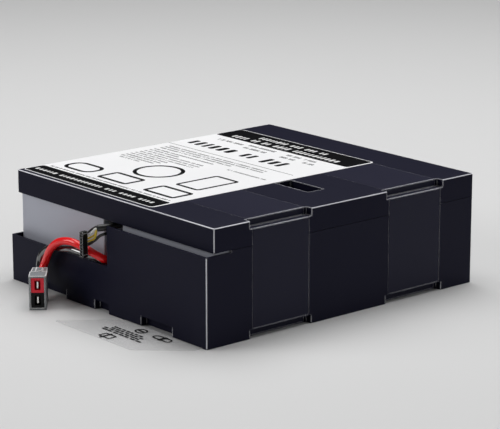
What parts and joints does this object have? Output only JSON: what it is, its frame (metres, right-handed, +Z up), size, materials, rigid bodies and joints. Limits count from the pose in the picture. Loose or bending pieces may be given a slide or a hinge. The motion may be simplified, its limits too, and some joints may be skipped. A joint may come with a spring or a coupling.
{
  "type": "ups battery cartridge",
  "caption": "Flat black battery cartridge: stepped tray and cover bound by wide tapes around sealed blocks, with leads, a two-pole power connector and a sense connector at the front.",
  "frame": {"origin": "middle of the underside of the shells", "axes": "+Z up through the cover, leads leave at -Y, +X to the right seen from the leads"},
  "size_m": [0.203, 0.2605, 0.0742],
  "materials": {
    "binding_tape": "satin",
    "black_core": "satin",
    "black_housing": "satin",
    "black_jacket": "satin",
    "black_lead": "glossy silicone",
    "block_case": "fine matt texture",
    "block_lid": "satin",
    "clear_film": "clear",
    "contact_silver": "silver plated",
    "foam": "open foam",
    "label_film": "coated, satin",
    "link_brass": "nickel plated",
    "plug_shell": "satin",
    "red_housing": "satin",
    "red_lead": "glossy silicone",
    "sense_housing": "satin",
    "shell_plastic": "fine matt texture",
    "tinned_terminal": "tin plated",
    "white_core": "satin",
    "yellow_core": "satin"
  },
  "bodies": {
    "root": {"battery_case_front_left": "block_case", "battery_case_front_right": "block_case", "battery_case_rear_left": "block_case", "battery_case_rear_right": "block_case", "battery_lid_front_left": "block_lid", "battery_lid_front_right": "block_lid", "battery_lid_rear_left": "block_lid", "battery_lid_rear_right": "block_lid", "black_contact": "contact_silver", "black_housing": "black_housing", "black_lead": "black_lead", "black_receptacle": "tinned_terminal", "cover": "shell_plastic", "foam_pad_front_left": "foam", "foam_pad_front_right": "foam", "foam_pad_rear_left": "foam", "foam_pad_rear_right": "foam", "front_binding_tape": "binding_tape", "link_across": "link_brass", "link_left": "link_brass", "link_right": "link_brass", "negative_tab_front_left": "tinned_terminal", "negative_tab_front_right": "tinned_terminal", "negative_tab_rear_left": "tinned_terminal", "negative_tab_rear_right": "tinned_terminal", "plug_shell": "plug_shell", "positive_tab_front_left": "tinned_terminal", "positive_tab_front_right": "tinned_terminal", "positive_tab_rear_left": "tinned_terminal", "positive_tab_rear_right": "tinned_terminal", "pull_tab": "clear_film", "rear_binding_tape": "binding_tape", "red_contact": "contact_silver", "red_housing": "red_housing", "red_lead": "red_lead", "red_receptacle": "tinned_terminal", "sense_cable": "black_jacket", "sense_contacts": "tinned_terminal", "sense_core_black": "black_core", "sense_core_lemon": "yellow_core", "sense_core_white": "white_core", "sense_core_yellow": "yellow_core", "sense_housing": "sense_housing", "sense_tail": "black_core", "sense_tap_left": "yellow_core", "sense_tap_middle": "white_core", "sense_tap_positive": "yellow_core", "sense_tap_right": "black_core", "top_label": "label_film", "tray": "shell_plastic", "vent_plate_front_left": "block_lid", "vent_plate_front_right": "block_lid", "vent_plate_rear_left": "block_lid", "vent_plate_rear_right": "block_lid"}
  },
  "joints": []
}
